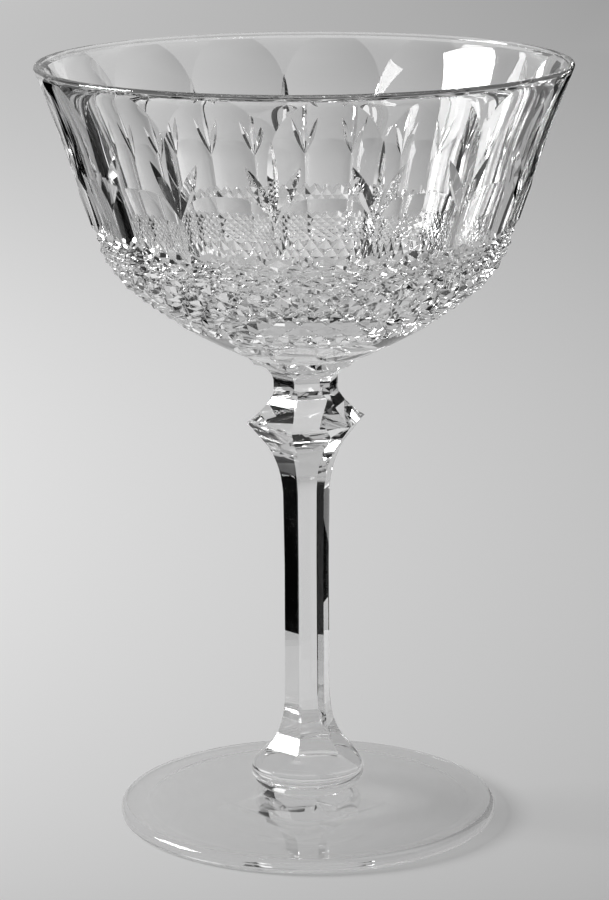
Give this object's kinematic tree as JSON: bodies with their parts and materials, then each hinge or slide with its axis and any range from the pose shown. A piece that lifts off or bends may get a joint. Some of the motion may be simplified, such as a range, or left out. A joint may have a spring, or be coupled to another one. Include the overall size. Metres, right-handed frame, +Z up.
{
  "type": "sherbet glass",
  "caption": "Stemmed cut crystal sherbet glass: wide flared bowl with leaf sprays over diamond cutting, six-sided stem with a sharp knop, round foot.",
  "frame": {"origin": "on the table, under the middle of the foot", "axes": "+Z up along the stem to the open bowl, -Y is the front that the picture shows"},
  "size_m": [0.1, 0.1, 0.146],
  "materials": {
    "crystal": "polished"
  },
  "bodies": {
    "root": {"bowl": "crystal", "stem": "crystal", "foot": "crystal"}
  },
  "joints": []
}
